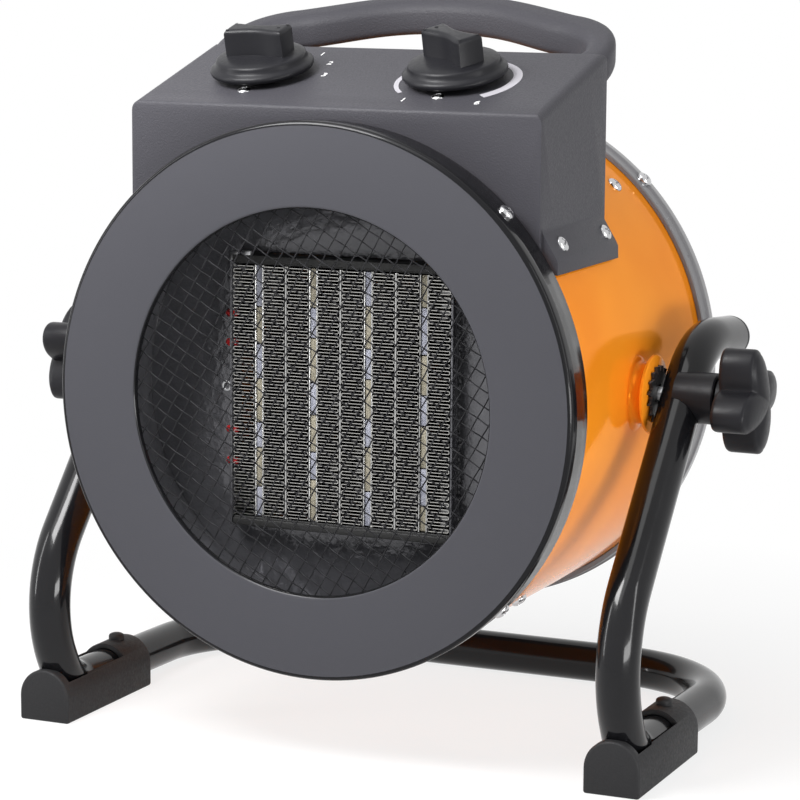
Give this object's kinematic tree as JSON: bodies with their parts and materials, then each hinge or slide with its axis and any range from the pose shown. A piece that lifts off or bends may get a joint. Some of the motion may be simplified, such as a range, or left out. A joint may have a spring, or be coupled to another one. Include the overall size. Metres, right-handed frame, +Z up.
{
  "type": "forced air heater",
  "caption": "Drum-shaped electric fan heater with a ceramic element behind a wire guard, tilting between the legs of a bent tube stand, with control knobs and a loop handle on top.",
  "frame": {"origin": "centre of the footprint box on the floor, midway between the front rim and the stand's rear tube", "axes": "+Z up, the heater blows along -Y, +X across to the right as seen from the front, along the tilt axis"},
  "size_m": [0.339, 0.1912, 0.3161],
  "materials": {
    "shell_paint": "glossy orange powder coat",
    "rim_paint": "satin dark grey paint",
    "black_gloss_paint": "glossy black paint",
    "black_steel": "blackened steel",
    "guard_wire": "fine woven wire, dark",
    "housing_plastic": "fine-grained black moulding",
    "knob_plastic": "semi-gloss black moulding",
    "element_frame_plastic": "heat-proof black moulding",
    "bare_aluminium": "bare sheet",
    "element_ceramic": null,
    "plated_steel": "zinc-plated",
    "foot_rubber": "matte black"
  },
  "bodies": {
    "stand": {"stand_tube": "black_gloss_paint", "foot_left": "foot_rubber", "foot_right": "foot_rubber", "foot_plug_left": "foot_rubber", "foot_plug_right": "foot_rubber", "tube_cap_left": "housing_plastic", "tube_cap_right": "housing_plastic", "clamp_spacer_left": "housing_plastic", "clamp_spacer_right": "housing_plastic"},
    "heater": {"drum_shell": "shell_paint", "front_bezel": "rim_paint", "rear_bezel": "black_gloss_paint", "front_guard": "guard_wire", "rear_guard": "guard_wire", "air_duct": "black_gloss_paint", "element_baffle": "black_gloss_paint", "element_frame_top": "element_frame_plastic", "element_frame_bottom": "element_frame_plastic", "fin_pack_1": "bare_aluminium", "fin_pack_2": "bare_aluminium", "fin_pack_3": "bare_aluminium", "fin_pack_4": "bare_aluminium", "fin_pack_5": "bare_aluminium", "fin_pack_6": "bare_aluminium", "fin_pack_7": "bare_aluminium", "fin_pack_8": "bare_aluminium", "ceramic_bar_1": "element_ceramic", "ceramic_bar_2": "element_ceramic", "ceramic_bar_3": "element_ceramic", "ceramic_bar_4": "element_ceramic", "divider_strip_1": "bare_aluminium", "divider_strip_2": "bare_aluminium", "divider_strip_3": "bare_aluminium", "thermal_cutout": "plated_steel", "fan_motor": "plated_steel", "motor_bracket": "plated_steel", "control_housing": "housing_plastic", "function_switch": "element_frame_plastic", "thermostat": "plated_steel", "terminal_block": "element_ceramic", "cable_gland": "housing_plastic", "pivot_boss_left": "shell_paint", "pivot_boss_right": "shell_paint", "tooth_washer_left": "black_steel", "tooth_washer_right": "black_steel"},
    "fan": {"fan_impeller": "bare_aluminium"},
    "function_control": {"function_knob": "knob_plastic"},
    "thermostat_control": {"thermostat_knob": "knob_plastic"},
    "clamp_left": {"clamp_knob_left": "knob_plastic", "clamp_bolt_left": "plated_steel"},
    "clamp_right": {"clamp_knob_right": "knob_plastic", "clamp_bolt_right": "plated_steel"}
  },
  "joints": [
    {"name": "heater_tilt", "type": "hinge", "parent": "stand", "child": "heater", "pos_m": [0, -0.0056, 0.1544], "axis": [-1, 0, 0], "range_deg": [-60, 100]},
    {"name": "fan_spin", "type": "hinge", "parent": "heater", "child": "fan", "pos_m": [0, -0.0056, 0.1544], "axis": [0, -1, 0], "continuous": true},
    {"name": "function_turn", "type": "hinge", "parent": "heater", "child": "function_control", "pos_m": [-0.04925, -0.0371, 0.28729], "axis": [0, -0.279, 0.9603], "range_deg": [0, 90]},
    {"name": "thermostat_turn", "type": "hinge", "parent": "heater", "child": "thermostat_control", "pos_m": [0.04145, -0.0371, 0.28729], "axis": [0, -0.279, 0.9603], "range_deg": [-192, 76]},
    {"name": "clamp_turn_left", "type": "hinge", "parent": "heater", "child": "clamp_left", "pos_m": [-0.16, -0.0056, 0.1544], "axis": [-1, 0, 0], "range_deg": [0, 360]},
    {"name": "clamp_turn_right", "type": "hinge", "parent": "heater", "child": "clamp_right", "pos_m": [0.16, -0.0056, 0.1544], "axis": [1, 0, 0], "range_deg": [0, 360]}
  ]
}
